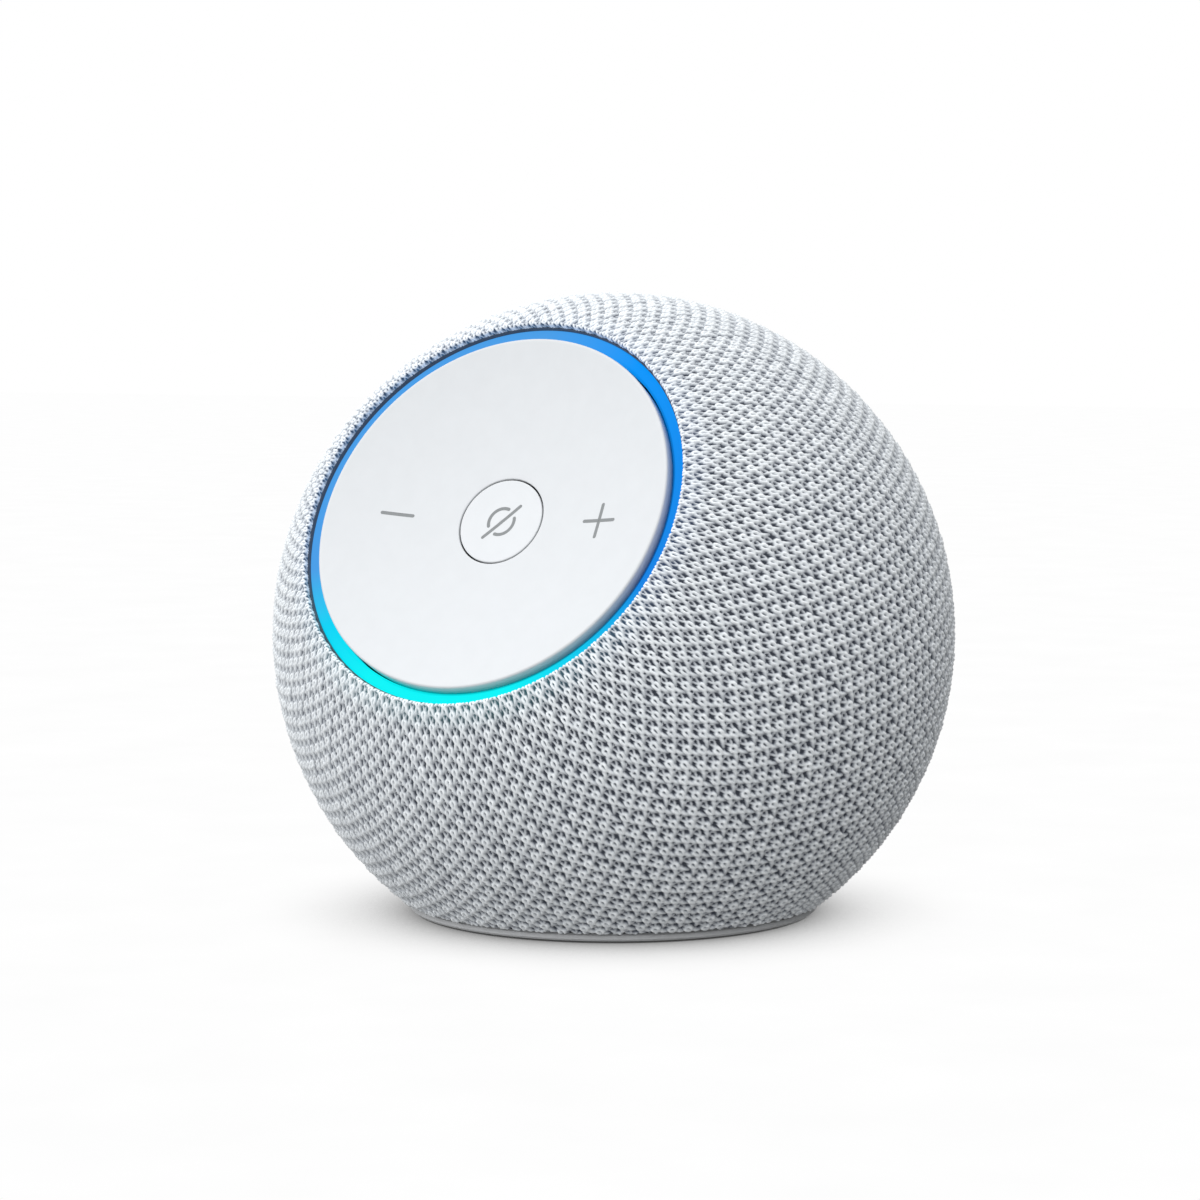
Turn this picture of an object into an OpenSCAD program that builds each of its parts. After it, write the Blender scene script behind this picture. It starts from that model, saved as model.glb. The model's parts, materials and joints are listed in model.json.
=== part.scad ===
// Smart speaker: a fabric-covered ball with a tilted, dished control face,
// standing on a flat base. Millimetres, +Z up, the front is -Y, and the
// origin is the centre of the footprint on the surface it stands on.

/* [Ball] */
// Outer diameter of the fabric ball
ball_d = 108.7; // [107.7:0.1:109.7]
// Height from the surface to the top of the ball
total_h = 98.8; // [98.3:0.1:99.3]
// Thickness of the knitted cover
fabric_t = 1.2; // [0.8:0.1:1.3]
// Wall of the moulded housing under the cover
housing_t = 2.2; // [1.8:0.1:2.4]
// Height of the seam between the lower and the upper housing
seam_z = 34; // [33.5:0.5:34.5]

/* [Control face] */
// Upward tilt of the face's normal, in degrees
face_tilt = 30; // [29:0.5:31]
// Radius of the dished front panel
panel_r = 29.5; // [29.3:0.1:29.6]
// Distance from the ball's centre to the panel's rim
panel_rim_w = 43.3; // [43.1:0.1:43.5]
// Distance from the ball's centre to the middle of the dish
dish_w = 39.1; // [39:0.1:39.3]
// Radius of curvature of the dish
dish_curve_r = 106; // [102:1:112]
// Outer radius of the light ring
light_ring_r = 31.55; // [31.5:0.05:31.6]
// Distance from the ball's centre to the light ring's face
light_ring_w = 41.8; // [41.5:0.1:42.1]
// Number of LEDs under the light ring
led_count = 24; // [12:4:24]

/* [Mute button] */
// Radius of the button
button_r = 6.95; // [6.8:0.05:7.1]
// How far the button travels
button_travel = 0.3; // [0.2:0.05:0.35]

/* [Base] */
// Radius of the bottom cover on its lower edge
base_r = 32.75; // [32.55:0.05:32.95]
// Radius of the bottom cover on its upper edge
base_top_r = 32.5; // [32.3:0.05:32.6]
// How far the rubber foot stands below the bottom cover
foot_h = 0.4; // [0.3:0.1:0.5]

/* [Power inlet] */
// Height of the inlet's axis
inlet_z = 10.5; // [10.3:0.1:10.7]
// Radius of the recess that takes the plug's barrel
inlet_r = 4.6; // [4.4:0.1:4.8]
// Radius of the jack's centre pin
jack_pin_r = 1; // [0.8:0.1:1]

/* [Drivers] */
// Radius of the woofer's frame
woofer_r = 31.5; // [31.2:0.1:31.5]
// How far the woofer's cone moves each way
woofer_travel = 2.5; // [2:0.5:2.5]
// Radius of the tweeter's frame
tweeter_r = 12.4; // [12.2:0.1:12.5]

/* [Hidden] */
$fn = 96;
fine = 24;              // sides of the smallest round parts
smooth = 240;           // sides of the large ball that hollows the dish
ball_r = ball_d / 2;
ball_z = total_h - ball_r;
housing_r = ball_r - fabric_t - 0.2;
housing_in_r = housing_r - housing_t;
far = 80;               // reaches past the ball in every direction
eps = 0.1;              // overshoot of a cut past a face

// Base
cover_z = foot_h;
cover_top_z = 1.55;
hem_z = cover_top_z + 0.1;
groove_z = 0.95;        // ceiling of the groove that holds the foot
foot_in_r = 20.5;
foot_out_r = 30.2;
base_screw_pcr = 23.5;
base_pad_z = 4.3;
base_boss_z = 9;

// Control face: w is the distance from the ball's centre along the normal
opening_r = light_ring_r + 0.65;
collar_in_r = light_ring_r + 0.2;
collar_out_r = collar_in_r + 1.45;
ledge_w = 31;
ledge_top_w = 32.6;
ledge_in_r = 26.5;
bracket_top_w = 34.2;
board_top_w = 35.4;
panel_t = 1.6;
skirt_in_r = panel_r - 1.6;
bracket_screw_pcr = 29.3;
led_pcr = 30.5;
led_h = 0.8;
ring_in_r = panel_r + 0.25;
button_hole_r = button_r + 0.25;
button_under_w = 37;
switch_top_w = 36.3;
plunger_top_w = 36.9;

// Woofer, firing down; heights are above the lower face of its frame
woofer_y = 10;
woofer_z = 22.8;
shelf_z = 20;
shelf_top_z = 22;
shelf_hole_r = 28;
woofer_screw_pcr = 29.7;
woofer_screw_angles = [30, 150, 210, 330];
basket_h = 14.6;
plate_h = 2.6;
magnet_h = 8;
back_plate_h = 3;
pole_r = 7.4;
coil_r = 8.05;

// Tweeter, aimed forward and down under the face
tweeter_tilt = -35;
tweeter_w = 43;         // distance from the ball's centre to its frame's face
pocket_r = tweeter_r + 0.3;
pocket_t = 1.2;
pocket_depth = 9.4;

// Power inlet, along +Y
inlet_half_w = 9.5;
inlet_top_z = 18.5;
inlet_corner_r = 5;
bezel_r = ball_r - 0.35;
scoop_r = 6;
scoop_y = 36.2;
jack_face_y = 29.9;
jack_back_y = 16.5;
jack_hole_r = 2.9;
jack_floor_y = 20.4;
power_board_z = 3.4;
board_t = 1.6;

// Electronics above the woofer
tray_z = 53.3;
tray_top_z = 55.3;
tray_r = 47.5;
tray_screw_pcr = 42;
tray_screw_angles = [15, 75, 105, 165];
main_board_z = 57.8;
main_board_top_z = main_board_z + board_t;
board_screw_xy = [[24.5, -9], [-24.5, -9], [24.5, 29], [-24.5, 29]];
can_top_z = 62;
sink_z = 62.5;
sink_top_z = 74;

// ---- Shared shapes ----

module ball(r) translate([0, 0, ball_z]) sphere(r = r);

module face_frame() translate([0, 0, ball_z]) rotate([90 - face_tilt, 0, 0]) children();

module tweeter_frame_axes()
    translate([0, 0, ball_z]) rotate([90 - tweeter_tilt, 0, 0]) translate([0, 0, tweeter_w]) children();

module woofer_axes() translate([0, woofer_y, woofer_z]) children();

module disc(r, low, high) translate([0, 0, low]) cylinder(r = r, h = high - low);

module ring(out_r, in_r, low, high)
    difference() {
        disc(out_r, low, high);
        disc(in_r, low - eps, high + eps);
    }

// The ball that hollows the dish, grown to reach a depth under its surface
module dish_ball(depth)
    face_frame() translate([0, 0, dish_w + dish_curve_r]) sphere(r = dish_curve_r + depth, $fn = smooth);

module below(z) translate([-far, -far, z - 2 * far]) cube(2 * far);

module above(z) translate([-far, -far, z]) cube(2 * far);

module around(angles, radius) for (a = angles) rotate([0, 0, a]) translate([radius, 0, 0]) children();

// An eight-sided wire through the points; each length runs on a little to meet the next
module wire(points, r)
    for (i = [0:len(points) - 2]) {
        v = points[i + 1] - points[i];
        lap = r * 0.4;
        translate(points[i])
            rotate([0, acos(v.z / norm(v)), atan2(v.y, v.x)])
                translate([0, 0, -lap]) cylinder(r = r, h = norm(v) + 2 * lap, $fn = 8);
    }

module screw(head_r, head_h, shank_r, shank_h) {
    difference() {
        translate([0, 0, -head_h]) cylinder(r = head_r, h = head_h);
        translate([0, 0, -head_h - eps]) cylinder(r = head_r / 2, h = head_h / 2 + eps, $fn = 6);
    }
    cylinder(r = shank_r, h = shank_h);
}

// The outline of the rear inlet, seen along Y: a door with rounded upper corners
module inlet_prism(grow, from_y)
    translate([0, from_y, 0]) rotate([90, 0, 180]) linear_extrude(far) union() {
        side = inlet_half_w + grow;
        corner = inlet_corner_r + grow;
        shoulder_z = inlet_top_z - inlet_corner_r;
        translate([-side, cover_top_z]) square([2 * side, shoulder_z - cover_top_z]);
        translate([corner - side, cover_top_z])
            square([2 * (side - corner), inlet_top_z + grow - cover_top_z]);
        for (s = [-1, 1]) translate([s * (side - corner), shoulder_z]) circle(r = corner);
    }

module along_y(r, from_y, to_y)
    translate([0, from_y, inlet_z]) rotate([-90, 0, 0]) cylinder(r = r, h = to_y - from_y);

// ---- Cover and housing ----

module fabric_cover() color("gainsboro")
    difference() {
        ball(ball_r);
        ball(ball_r - fabric_t);
        face_frame() disc(opening_r, ledge_w, far);
        below(hem_z);
        inlet_prism(0.1, 20);
    }

module upper_housing() color("dimgray") {
    tongue_r = housing_in_r + 0.95;
    mic_polar = 48;
    difference() {
        union() {
            difference() {
                ball(housing_r);
                ball(housing_in_r);
                below(seam_z);
                face_frame() disc(collar_in_r + 0.5, ledge_w, far);
            }
            // Tongue that drops inside the lower housing's rim
            difference() {
                ball(tongue_r);
                ball(housing_in_r);
                below(seam_z - 1.2);
                above(seam_z + 0.5);
            }
            intersection() {
                ball(housing_r);
                face_frame() ring(collar_out_r, collar_in_r, ledge_w, far);
            }
            face_frame() ring(collar_out_r, ledge_in_r, ledge_w, ledge_top_w);
            // Bosses that the electronics tray screws to
            intersection() {
                ball(housing_r - housing_t / 2);
                around(tray_screw_angles, tray_screw_pcr) disc(3, tray_top_z, far);
            }
        }
        face_frame() around([45:90:315], bracket_screw_pcr) disc(1.1, ledge_w - eps, ledge_top_w + eps);
        around(tray_screw_angles, tray_screw_pcr) disc(1, tray_top_z - eps, tray_top_z + 8);
        face_frame() for (a = [45:90:315]) rotate([0, 0, a]) rotate([0, mic_polar, 0])
            disc(0.8, 48, 56, $fn = fine);
    }
}

module lower_housing() color("dimgray") {
    window_w = 4;
    window_low_z = 6;
    window_h = 11;
    rear = 24;           // half of the angle kept solid around the inlet
    front = 32;          // half of the angle kept solid around the tweeter
    rebate_r = housing_in_r + 1.1;
    inner_clip_r = housing_r - housing_t / 2;
    difference() {
        union() {
            difference() {
                ball(housing_r);
                ball(housing_in_r);
                below(cover_top_z);
                above(seam_z);
                difference() {
                    ball(rebate_r);
                    below(seam_z - 1.3);
                }
                // Sound windows all round, apart from the inlet and the tweeter
                for (a = [90 + rear:12:270 - front]) for (side = [0, 1]) mirror([side, 0, 0])
                    rotate([0, 0, a]) translate([25, -window_w / 2, window_low_z])
                        cube([30, window_w, window_h]);
            }
            // Shelf that carries the woofer and closes the upper chamber
            difference() {
                intersection() {
                    ball(inner_clip_r);
                    disc(far, shelf_z, shelf_top_z);
                }
                translate([0, woofer_y, 0]) disc(shelf_hole_r, shelf_z - eps, shelf_top_z + eps);
            }
            // Pocket for the tweeter, closed at the back
            intersection() {
                ball(inner_clip_r);
                tweeter_frame_axes() disc(pocket_r + pocket_t, -pocket_depth - pocket_t, 12);
            }
            translate([0, woofer_y, 0]) around(woofer_screw_angles, woofer_screw_pcr)
                disc(2.6, 13, shelf_z + eps);
            around([45:90:315], base_screw_pcr) disc(3.2, base_pad_z, base_boss_z);
            intersection() {
                ball(inner_clip_r);
                around([45:90:315], base_screw_pcr) translate([0, -1, base_pad_z])
                    cube([20, 2, base_boss_z - base_pad_z]);
            }
        }
        tweeter_frame_axes() disc(pocket_r, -pocket_depth, 4);
        intersection() {
            ball(housing_in_r);
            tweeter_frame_axes() disc(pocket_r, 0, 12);
        }
        // The tweeter's grille: a round window crossed by upright bars
        tweeter_frame_axes() difference() {
            disc(pocket_r - 0.4, 3, 20);
            for (x = [-9:4.5:9]) translate([x - 0.7, -20, 3]) cube([1.4, 40, 20]);
        }
        tweeter_frame_axes() translate([-6, 5, 0]) disc(1.6, -pocket_depth - pocket_t - 1, 0, $fn = fine);
        translate([0, woofer_y, 0]) around(woofer_screw_angles, woofer_screw_pcr)
            disc(1, 14.5, shelf_top_z + eps);
        translate([-24, 34, 0]) disc(1.8, shelf_z - eps, shelf_top_z + eps, $fn = fine);
        around([45:90:315], base_screw_pcr) disc(1.15, base_pad_z - eps, base_boss_z - 0.4);
        inlet_prism(0.15, 25);
    }
}

module bottom_cover() color("darkgray") {
    lip = 0.3;           // chamfer of the upper and the lower edge
    difference() {
        union() {
            rotate_extrude() polygon([[0, cover_z], [base_r - lip, cover_z], [base_r, cover_z + lip],
                [base_top_r, cover_top_z - lip], [base_top_r - lip, cover_top_z], [0, cover_top_z]]);
            around([45:90:315], base_screw_pcr) disc(3.4, cover_top_z - eps, base_pad_z);
            // Posts under the power board
            for (x = [-8, 8]) for (y = [18, 24]) translate([x, y, 0])
                disc(1.6, cover_top_z - eps, power_board_z);
        }
        ring(foot_out_r + 0.1, foot_in_r - 0.1, 0, groove_z);
        around([45:90:315], base_screw_pcr) {
            disc(2.6, 0, 3.1);
            disc(1.3, 0, base_pad_z + eps);
        }
    }
}

module rubber_foot() color("gray")
    rotate_extrude() polygon([[foot_in_r, 0.3], [foot_in_r + 0.3, 0], [foot_out_r - 0.3, 0],
        [foot_out_r, 0.3], [foot_out_r, groove_z], [foot_in_r, groove_z]]);

module base_screws() color("silver")
    around([45:90:315], base_screw_pcr) translate([0, 0, 3.1]) screw(2.3, 1.4, 1.05, 5.2);

// ---- Control face ----

module front_panel() color("white")
    difference() {
        face_frame() disc(panel_r, board_top_w, panel_rim_w);
        dish_ball(0);
        difference() {
            face_frame() disc(skirt_in_r, board_top_w - eps, panel_rim_w + 5);
            dish_ball(panel_t);
        }
        face_frame() disc(button_hole_r, board_top_w, panel_rim_w + 5);
    }

module light_ring() color("deepskyblue")
    face_frame() ring(light_ring_r, ring_in_r, board_top_w + led_h + 0.1, light_ring_w);

module mute_button() color("white") {
    flange_r = button_r + 1.1;
    flange_top_w = button_under_w + 0.55;
    difference() {
        face_frame() rotate_extrude() polygon([[0, plunger_top_w + 0.02], [1.2, plunger_top_w + 0.02],
            [1.2, button_under_w], [flange_r, button_under_w], [flange_r, flange_top_w],
            [button_r, flange_top_w], [button_r, dish_w + 1], [0, dish_w + 1]]);
        dish_ball(0);
    }
}

module touch_film() color("darkorange")
    intersection() {
        face_frame() ring(25, button_r + 1.9, board_top_w, panel_rim_w);
        difference() {
            dish_ball(panel_t + 0.35);
            dish_ball(panel_t + 0.05);
        }
    }

module switch_body() color("black")
    face_frame() difference() {
        translate([-2.3, -2.3, board_top_w]) cube([4.6, 4.6, switch_top_w - board_top_w]);
        disc(1, switch_top_w - button_travel - 0.15, switch_top_w + eps);
    }

module switch_plunger() color("silver")
    face_frame() disc(0.9, switch_top_w - 0.1, plunger_top_w);

module ring_leds() color("lightyellow")
    face_frame() around([0:360 / led_count:359], led_pcr)
        translate([-0.75, -1, board_top_w]) cube([1.5, 2, led_h]);

module control_board() color("darkgreen")
    face_frame() disc(light_ring_r - 0.35, bracket_top_w, board_top_w);

module face_bracket() color("slategray")
    face_frame() difference() {
        disc(light_ring_r - 0.15, ledge_top_w, bracket_top_w);
        around([45:90:315], bracket_screw_pcr) disc(1.05, ledge_top_w - eps, bracket_top_w - 0.2);
        around([45:90:315], 16) disc(6.5, ledge_top_w - eps, bracket_top_w + eps);
        translate([-7, -4, ledge_top_w - eps]) cube([14, 8, 2]);
    }

module bracket_screws() color("silver")
    face_frame() around([45:90:315], bracket_screw_pcr)
        translate([0, 0, ledge_w]) screw(1.9, 1.3, 0.95, bracket_top_w - 0.3 - ledge_w);

module face_flex() color("sienna") {
    flex_w = 10;
    flex_t = 0.35;
    route = [[-29.3, 61.7], [-25.5, 58.8], [-18, 61.6], [-13.2, 61.6]];
    back = [for (i = [len(route) - 1:-1:0]) route[i] + [0, flex_t]];
    translate([-flex_w / 2, 0, 0]) rotate([90, 0, 90]) linear_extrude(flex_w) polygon(concat(route, back));
}

module microphones() color("gold")
    face_frame() for (a = [45:90:315]) rotate([0, 0, a]) rotate([0, 48, 0])
        translate([-1.75, -1.3, 48.3]) cube([3.5, 2.6, 1.1]);

module mic_gaskets() color("black")
    face_frame() for (a = [45:90:315]) rotate([0, 0, a]) rotate([0, 48, 0])
        ring(2.2, 0.8, 49.4, housing_in_r - 0.15, $fn = fine);

// ---- Power inlet ----

module inlet_bezel() color("lightgray")
    difference() {
        intersection() {
            ball(bezel_r);
            union() {
                difference() {
                    inlet_prism(0, 25);
                    ball(bezel_r - 3);
                }
                along_y(scoop_r + 1.3, jack_face_y + 0.1, far);
            }
        }
        along_y(scoop_r, scoop_y, far);
        along_y(inlet_r, jack_face_y, far);
    }

module dc_jack() color("black")
    difference() {
        translate([-4.5, jack_back_y, power_board_z + board_t])
            cube([9, jack_face_y - jack_back_y, 2 * (inlet_z - power_board_z - board_t)]);
        along_y(jack_hole_r, jack_floor_y, far);
        along_y(0.82, jack_back_y + 1.5, far);
    }

module dc_jack_pin() color("silver") {
    along_y(jack_pin_r, jack_floor_y + 0.1, jack_face_y - 0.7);
    along_y(0.8, jack_back_y + 1.5, jack_floor_y + 0.2);
}

module power_board() color("darkgreen")
    translate([-10, 15.5, power_board_z]) cube([20, 11.5, board_t]);

module power_lead() color("black")
    wire([[-8, 24, 6], [-14, 30, 10.5], [-21, 32.5, 16], [-24, 34, 20], [-24, 34, 22.5], [-27, 34, 30],
        [-31, 30, 46], [-34, 26, 52], [-34, 26, 56], [-31, 22, 61], [-28, 20, 61]], 1);

module acoustic_reflector() color("black") {
    foot_r = 16;
    tip_r = 2;
    rim_h = 1.2;
    rise = 8;
    steps = 14;
    flare = [for (i = [0:steps])
        [foot_r - (foot_r - tip_r) * i / steps, cover_top_z + rim_h + rise * pow(i / steps, 2)]];
    translate([0, -1, 0]) rotate_extrude()
        polygon(concat([[0, cover_top_z], [foot_r, cover_top_z]], flare,
            [[0, cover_top_z + rim_h + rise]]));
}

// ---- Woofer ----

module woofer_basket() color("darkslategray")
    woofer_axes() difference() {
        rotate_extrude() union() {
            polygon([[25.5, 0], [woofer_r, 0], [woofer_r, 2], [27.2, 2], [21.2, 13], [21.2, basket_h],
                [12, basket_h], [12, 13], [19.7, 13], [25.5, 2]]);
            polygon([[18.5, 8], [22.8, 8], [22.3, 9], [18.5, 9]]);
        }
        for (a = [0:90:270]) rotate([0, 0, a]) translate([17, -8, 2.6]) cube([14, 16, 5]);
        around(woofer_screw_angles, woofer_screw_pcr) disc(1.2, -eps, 2 + eps);
    }

module woofer_gasket() color("black")
    woofer_axes() difference() {
        ring(woofer_r, shelf_hole_r, shelf_top_z - woofer_z, 0);
        around(woofer_screw_angles, woofer_screw_pcr) disc(1.2, -1, eps);
    }

module woofer_screws() color("silver")
    woofer_axes() around(woofer_screw_angles, woofer_screw_pcr)
        translate([0, 0, 2]) mirror([0, 0, 1]) screw(1.9, 1.3, 0.95, 10);

module woofer_surround() color("black")
    woofer_axes() rotate_extrude() union() {
        translate([24.9, -0.6]) square([2.5, 0.6]);
        translate([19, -0.6]) square([1.1, 0.6]);
        intersection() {
            translate([22.5, -0.3]) difference() {
                circle(r = 2.75);
                circle(r = 2.25);
            }
            translate([19, -4]) square([7, 3.7]);
        }
    }

module woofer_cone() color("dimgray")
    woofer_axes() rotate_extrude()
        polygon([[20, 0], [20, 0.6], [19.4, 0.8], [8.1, 7.9], [8.1, 7.1], [19, 0.05], [19, 0]]);

module woofer_dust_cap() color("black") {
    cap_r = 20.5;
    woofer_axes() intersection() {
        translate([0, 0, 2.8 + cap_r]) difference() {
            sphere(r = cap_r);
            sphere(r = cap_r - 0.4);
        }
        disc(12, 0, 5.4);
    }
}

module woofer_voice_coil() color("peru") {
    gap_middle = basket_h + plate_h / 2;
    winding_h = plate_h + 1.4 * woofer_travel;
    woofer_axes() {
        ring(coil_r, coil_r - 0.35, 6.2, gap_middle + winding_h / 2 + 0.1);
        ring(coil_r + 0.25, coil_r - 0.2, gap_middle - winding_h / 2, gap_middle + winding_h / 2);
    }
}

module woofer_spider() color("goldenrod") {
    inner_r = coil_r + 0.05;
    outer_r = 20;
    steps = 36;
    waves = 4;
    lower = [for (i = [0:steps])
        [inner_r + (outer_r - inner_r) * i / steps, 9.6 + 0.45 * sin(360 * waves * i / steps)]];
    upper = [for (i = [steps:-1:0]) lower[i] + [0, 0.3]];
    woofer_axes() rotate_extrude() polygon(concat(lower, upper));
}

module woofer_top_plate() color("silver")
    woofer_axes() ring(19.5, coil_r + 0.7, basket_h, basket_h + plate_h);

module woofer_magnet() color("darkgray")
    woofer_axes() ring(20.5, 11, basket_h + plate_h, basket_h + plate_h + magnet_h);

module woofer_yoke() color("silver") {
    back_z = basket_h + plate_h + magnet_h;
    woofer_axes() difference() {
        union() {
            disc(19.5, back_z, back_z + back_plate_h);
            disc(pole_r, basket_h, back_z + eps);
        }
        disc(2, basket_h - eps, back_z + back_plate_h + eps);
    }
}

module woofer_leads() color("crimson")
    for (gap = [0, 1.8])
        wire([[22.6, 28.3 - gap, 29], [27, 30 - gap, 34], [31, 29 - gap, 46], [34, 27 - gap, 52],
            [34, 27 - gap, 56], [31, 21 - gap, 61], [27.5, 20 - gap, 61]], 0.6);

// ---- Tweeter ----

module tweeter_waveguide() color("dimgray")
    intersection() {
        ball(housing_in_r - 0.2);
        tweeter_frame_axes() difference() {
            disc(pocket_r - 0.2, 0, 12);
            translate([0, 0, -eps]) cylinder(r1 = 10.3, r2 = 12.8, h = 8);
        }
    }

module tweeter_frame() color("black")
    tweeter_frame_axes() ring(tweeter_r, 10.3, -2, 0);

module tweeter_dome() color("lightsteelblue") {
    cap_r = 12.4;
    tweeter_frame_axes() {
        intersection() {
            translate([0, 0, 1.4 - cap_r]) difference() {
                sphere(r = cap_r);
                sphere(r = cap_r - 0.25);
            }
            disc(9, -1.45, 2);
        }
        ring(10.1, 7.5, -1.45, -1.2);
    }
}

module tweeter_coil() color("peru")
    tweeter_frame_axes() ring(7.7, 7.3, -6, -1.45);

module tweeter_magnet() color("silver")
    tweeter_frame_axes() disc(6.6, -7.5, -3);

module tweeter_yoke() color("gray")
    tweeter_frame_axes() difference() {
        disc(9.6, -8.9, -2);
        disc(8.3, -7.5, -2 + eps);
    }

module tweeter_leads() color("royalblue")
    for (gap = [0, 2.4])
        wire([[-27.5, -3.1 - gap, 61], [-31, -4.5 - gap, 61], [-34, -6 - gap, 56], [-34, -6 - gap, 50],
            [-28, -20 - gap, 40], [-9, -23 - gap, 35]], 0.6);

// ---- Electronics ----

module electronics_tray() color("slategray")
    difference() {
        union() {
            disc(tray_r, tray_z, tray_top_z);
            for (p = board_screw_xy) translate([p.x, p.y, 0]) disc(2.3, tray_top_z - eps, main_board_z);
        }
        face_frame() above(27);
        for (p = board_screw_xy) translate([p.x, p.y, 0]) disc(0.95, tray_z + 0.8, main_board_z + eps);
        around(tray_screw_angles, tray_screw_pcr) disc(1.2, tray_z - eps, tray_top_z + eps);
        // Holes that the leads pass through
        for (p = [[34, 26], [-34, 26], [-34, -7]]) translate([p.x, p.y, 0])
            disc(3, tray_z - eps, tray_top_z + eps);
    }

module tray_screws() color("silver")
    around(tray_screw_angles, tray_screw_pcr) translate([0, 0, tray_z]) screw(2.2, 1.4, 0.95, 9);

module main_board() color("darkgreen")
    difference() {
        translate([-28, -13, main_board_z]) cube([56, 46, board_t]);
        for (p = board_screw_xy) translate([p.x, p.y, 0])
            disc(1.2, main_board_z - eps, main_board_top_z + eps);
    }

module board_screws() color("silver")
    for (p = board_screw_xy) translate([p.x, p.y, main_board_top_z])
        mirror([0, 0, 1]) screw(1.9, 1.2, 0.9, 5.2);

module board_chips() color("black") {
    translate([-14, 0, main_board_top_z]) cube([13, 13, 1.4]);
    translate([-12, 15, main_board_top_z]) cube([9, 6, 1]);
    translate([11, 2, main_board_top_z]) cube([7, 7, 1.2]);
    translate([12, 13, main_board_top_z]) cube([6, 6, 2.2]);
    translate([-6, 26, main_board_top_z]) cube([8, 5, 1.2]);
}

module board_connectors() color("ivory") {
    translate([-6.5, -12.9, main_board_top_z]) cube([13, 4, 2]);
    translate([22, 15.5, main_board_top_z]) cube([5, 7, 3.2]);
    translate([-27, 17, main_board_top_z]) cube([5, 6, 3.2]);
    translate([-27, -6.8, main_board_top_z]) cube([5, 5, 3.2]);
}

module shield_can() color("silver") {
    can_h = can_top_z - main_board_top_z;
    can_t = 0.3;
    difference() {
        translate([-17, -3, main_board_top_z]) cube([22, 27, can_h]);
        translate([-17 + can_t, -3 + can_t, main_board_top_z - eps])
            cube([22 - 2 * can_t, 27 - 2 * can_t, can_h + eps - can_t]);
    }
}

module thermal_pad() color("lightgray")
    translate([-15, -1, can_top_z]) cube([18, 23, sink_z - can_top_z]);

module heat_sink() color("silver") {
    fins = 9;
    width = 38;
    fin_t = 1.2;
    translate([-width / 2, -6, sink_z]) cube([width, 30, 2]);
    for (i = [0:fins - 1]) translate([-width / 2 + i * (width - fin_t) / (fins - 1), -6, sink_z])
        cube([fin_t, 30, sink_top_z - sink_z]);
}

module antennas() color("goldenrod")
    for (s = [-1, 1]) translate([s * 31.5 - 0.4, 4, tray_top_z]) cube([0.8, 11, 15]);

fabric_cover();
upper_housing();
lower_housing();
bottom_cover();
rubber_foot();
base_screws();
front_panel();
light_ring();
mute_button();
touch_film();
switch_body();
switch_plunger();
ring_leds();
control_board();
face_bracket();
bracket_screws();
face_flex();
microphones();
mic_gaskets();
inlet_bezel();
dc_jack();
dc_jack_pin();
power_board();
power_lead();
acoustic_reflector();
woofer_basket();
woofer_gasket();
woofer_screws();
woofer_surround();
woofer_cone();
woofer_dust_cap();
woofer_voice_coil();
woofer_spider();
woofer_top_plate();
woofer_magnet();
woofer_yoke();
woofer_leads();
tweeter_waveguide();
tweeter_frame();
tweeter_dome();
tweeter_coil();
tweeter_magnet();
tweeter_yoke();
tweeter_leads();
electronics_tray();
tray_screws();
main_board();
board_screws();
board_chips();
board_connectors();
shield_can();
thermal_pad();
heat_sink();
antennas();
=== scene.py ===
"""Looks for the ball-shaped smart speaker: knitted cover, dished white face, glowing ring.

Everything is in metres, in the CAD frame: X to the right, Y to the back, Z up, floor at z = 0.
"""
import json
import math
import bpy
import numpy as np
from mathutils import Matrix, Quaternion, Vector


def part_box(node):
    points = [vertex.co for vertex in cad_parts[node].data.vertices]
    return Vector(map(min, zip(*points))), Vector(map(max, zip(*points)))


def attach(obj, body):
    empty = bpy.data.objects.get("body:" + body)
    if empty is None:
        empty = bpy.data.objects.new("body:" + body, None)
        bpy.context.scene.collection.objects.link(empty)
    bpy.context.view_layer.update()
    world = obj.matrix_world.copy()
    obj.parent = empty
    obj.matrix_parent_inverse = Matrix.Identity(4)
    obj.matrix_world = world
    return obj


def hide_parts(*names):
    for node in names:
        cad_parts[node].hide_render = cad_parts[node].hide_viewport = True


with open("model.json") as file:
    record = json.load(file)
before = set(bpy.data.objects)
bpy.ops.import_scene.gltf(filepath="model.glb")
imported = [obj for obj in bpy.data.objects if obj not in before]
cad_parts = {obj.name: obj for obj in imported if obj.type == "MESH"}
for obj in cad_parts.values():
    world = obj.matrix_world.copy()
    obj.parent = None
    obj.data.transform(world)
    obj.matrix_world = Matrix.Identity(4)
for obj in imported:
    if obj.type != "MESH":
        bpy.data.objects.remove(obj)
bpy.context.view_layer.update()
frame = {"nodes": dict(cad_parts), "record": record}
MM = 0.001

# ---------------------------------------------------------------- the object's own sizes
BALL_LOW, BALL_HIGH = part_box("fabric_cover")
BALL_R = (BALL_HIGH[0] - BALL_LOW[0]) / 2
BALL_Z = BALL_HIGH[2] - BALL_R
BALL_CENTRE = np.array([0, 0, BALL_Z])
FACE_TILT = math.radians(30)

# The face frame: across is to the right, up runs up the face and out points away from the ball.
ACROSS = np.array([1.0, 0.0, 0.0])
UP_FACE = np.array([0.0, math.sin(FACE_TILT), math.cos(FACE_TILT)])
OUT = np.array([0.0, -math.cos(FACE_TILT), math.sin(FACE_TILT)])

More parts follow.
